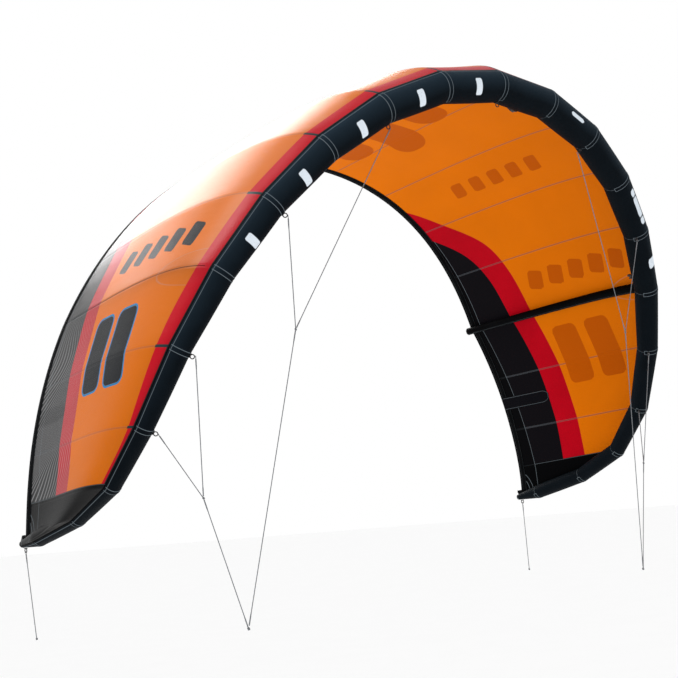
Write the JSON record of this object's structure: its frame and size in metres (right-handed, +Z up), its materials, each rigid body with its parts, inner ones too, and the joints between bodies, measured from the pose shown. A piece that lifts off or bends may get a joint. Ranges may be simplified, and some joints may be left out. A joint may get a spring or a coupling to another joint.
{
  "type": "kitesurf kite",
  "caption": "Inflatable arched traction kite with a tapering nose tube, three struts, sewn canopy panels, tip-down wings and hanging bridle lines on each side.",
  "frame": {"origin": "on the axis of the leading edge tube, at its middle seam", "axes": "+X towards the right wing tip, +Y from the nose back to the trailing edge, +Z up; the wing tips hang down"},
  "size_m": [3.8462, 1.9513, 2.799],
  "materials": {
    "canopy_orange": "ripstop polyester, coated",
    "canopy_black": "ripstop polyester, coated",
    "edge_tape": "woven polyester tape",
    "tube_cloth": "woven sailcloth, coated",
    "bladder_film": "clear film",
    "bridle_line": "braided, coated",
    "webbing": "woven webbing",
    "hose": "matt",
    "black_plastic": "moulded"
  },
  "bodies": {
    "root": {"bridle_loops_left": "webbing", "bridle_loops_right": "webbing", "canopy_panel_1_left": "canopy_orange", "canopy_panel_1_right": "canopy_orange", "canopy_panel_2_left": "canopy_orange", "canopy_panel_2_right": "canopy_orange", "canopy_panel_3_left": "canopy_orange", "canopy_panel_3_right": "canopy_orange", "canopy_panel_4_left": "canopy_orange", "canopy_panel_4_right": "canopy_orange", "canopy_panel_5_left": "canopy_orange", "canopy_panel_5_right": "canopy_orange", "canopy_panel_6_left": "canopy_orange", "canopy_panel_6_right": "canopy_orange", "canopy_panel_7_left": "canopy_orange", "canopy_panel_7_right": "canopy_orange", "canopy_panel_8_left": "canopy_orange", "canopy_panel_8_right": "canopy_orange", "canopy_tip_panel_left": "canopy_black", "canopy_tip_panel_right": "canopy_black", "hose_clip_base_centre": "black_plastic", "hose_clip_base_left": "black_plastic", "hose_clip_base_right": "black_plastic", "leading_edge_bladder": "bladder_film", "leading_edge_sleeve_inner_left": "tube_cloth", "leading_edge_sleeve_inner_right": "tube_cloth", "leading_edge_sleeve_outer_left": "tube_cloth", "leading_edge_sleeve_outer_right": "tube_cloth", "one_pump_hoses": "hose", "pump_leash_loop": "webbing", "rear_line_loop_left": "webbing", "rear_line_loop_right": "webbing", "strut_bladders": "bladder_film", "strut_end_caps": "webbing", "strut_sleeve_centre": "tube_cloth", "strut_sleeve_left": "tube_cloth", "strut_sleeve_right": "tube_cloth", "trailing_edge_band": "edge_tape", "valve_base": "black_plastic", "valve_insert": "black_plastic"},
    "outer_bridle_right": {"bridle_line_tip_right": "bridle_line", "bridle_line_outer_right": "bridle_line"},
    "inner_bridle_right": {"bridle_line_inner_right": "bridle_line", "bridle_line_root_right": "bridle_line"},
    "lower_outer_line_right": {"bridle_line_lower_outer_right": "bridle_line"},
    "lower_inner_line_right": {"bridle_line_lower_inner_right": "bridle_line"},
    "rear_line_right": {"rear_pigtail_right": "bridle_line"},
    "outer_bridle_left": {"bridle_line_tip_left": "bridle_line", "bridle_line_outer_left": "bridle_line"},
    "inner_bridle_left": {"bridle_line_inner_left": "bridle_line", "bridle_line_root_left": "bridle_line"},
    "lower_outer_line_left": {"bridle_line_lower_outer_left": "bridle_line"},
    "lower_inner_line_left": {"bridle_line_lower_inner_left": "bridle_line"},
    "rear_line_left": {"rear_pigtail_left": "bridle_line"},
    "valve_cap_body": {"valve_cap": "black_plastic"},
    "valve_flap_body": {"valve_flap": "black_plastic"},
    "clip_lever_right": {"hose_clip_lever_right": "black_plastic"},
    "clip_lever_left": {"hose_clip_lever_left": "black_plastic"},
    "clip_lever_centre": {"hose_clip_lever_centre": "black_plastic"}
  },
  "joints": [
    {"name": "front_bridle_swing_right", "type": "hinge", "parent": "root", "child": "outer_bridle_right", "pos_m": [1.73017, 0.67375, -1.67456], "axis": [0.2475, 0.4867, -0.8378], "range_deg": [-8, 8]},
    {"name": "inner_bridle_swing_right", "type": "hinge", "parent": "root", "child": "inner_bridle_right", "pos_m": [1.26059, 0.19108, -0.71808], "axis": [0.7841, 0.1521, -0.6017], "range_deg": [-4.13, 4.13]},
    {"name": "lower_outer_swing_right", "type": "hinge", "parent": "outer_bridle_right", "child": "lower_outer_line_right", "pos_m": [1.586, 0.559, -1.977], "axis": [0.7725, -0.621, -0.1326], "range_deg": [-3.41, 3.41]},
    {"name": "lower_inner_swing_right", "type": "hinge", "parent": "inner_bridle_right", "child": "lower_inner_line_right", "pos_m": [1.193, 0.283, -1.227], "axis": [0.0493, -0.9817, -0.1839], "range_deg": [-2.26, 2.26]},
    {"name": "rear_pigtail_swing_right", "type": "hinge", "parent": "root", "child": "rear_line_right", "pos_m": [1.84497, 1.822, -2.19421], "axis": [1, 0, 0], "range_deg": [-60, 60]},
    {"name": "front_bridle_swing_left", "type": "hinge", "parent": "root", "child": "outer_bridle_left", "pos_m": [-1.73017, 0.67375, -1.67456], "axis": [0.2475, -0.4867, 0.8378], "range_deg": [-8, 8]},
    {"name": "inner_bridle_swing_left", "type": "hinge", "parent": "root", "child": "inner_bridle_left", "pos_m": [-1.26059, 0.19108, -0.71808], "axis": [0.7841, -0.1521, 0.6017], "range_deg": [-4.13, 4.13]},
    {"name": "lower_outer_swing_left", "type": "hinge", "parent": "outer_bridle_left", "child": "lower_outer_line_left", "pos_m": [-1.586, 0.559, -1.977], "axis": [0.7725, 0.621, 0.1326], "range_deg": [-3.41, 3.41]},
    {"name": "lower_inner_swing_left", "type": "hinge", "parent": "inner_bridle_left", "child": "lower_inner_line_left", "pos_m": [-1.193, 0.283, -1.227], "axis": [0.0493, 0.9817, 0.1839], "range_deg": [-2.26, 2.26]},
    {"name": "rear_pigtail_swing_left", "type": "hinge", "parent": "root", "child": "rear_line_left", "pos_m": [-1.84497, 1.822, -2.19421], "axis": [1, 0, 0], "range_deg": [-60, 60]},
    {"name": "valve_cap_hinge", "type": "hinge", "parent": "root", "child": "valve_cap_body", "pos_m": [0.17408, 0.08804, -0.07272], "axis": [0.0819, 0.5334, 0.8419], "range_deg": [0, 115]},
    {"name": "valve_flap_hinge", "type": "hinge", "parent": "root", "child": "valve_flap_body", "pos_m": [0.1889, 0.07149, -0.06368], "axis": [-0.0819, -0.5334, -0.8419], "range_deg": [0, 55]},
    {"name": "clip_lever_hinge_right", "type": "hinge", "parent": "root", "child": "clip_lever_right", "pos_m": [1.49031, 0.44591, -0.87763], "axis": [0.1478, 0.9549, -0.2577], "range_deg": [0, 80]},
    {"name": "clip_lever_hinge_left", "type": "hinge", "parent": "root", "child": "clip_lever_left", "pos_m": [-1.49031, 0.44591, -0.87763], "axis": [0.1478, -0.9549, 0.2577], "range_deg": [0, 80]},
    {"name": "clip_lever_hinge_centre", "type": "hinge", "parent": "root", "child": "clip_lever_centre", "pos_m": [-0.07446, 0.12154, 0.02411], "axis": [-0.9836, 0, 0.1805], "range_deg": [0, 80]}
  ],
  "couplings": [
    {"joint": "inner_bridle_swing_right", "follows": "front_bridle_swing_right", "ratio": 0.5104},
    {"joint": "lower_outer_swing_right", "follows": "front_bridle_swing_right", "ratio": 0.4201},
    {"joint": "lower_inner_swing_right", "follows": "front_bridle_swing_right", "ratio": -0.2765},
    {"joint": "inner_bridle_swing_left", "follows": "front_bridle_swing_left", "ratio": 0.5104},
    {"joint": "lower_outer_swing_left", "follows": "front_bridle_swing_left", "ratio": 0.4201},
    {"joint": "lower_inner_swing_left", "follows": "front_bridle_swing_left", "ratio": -0.2765}
  ]
}
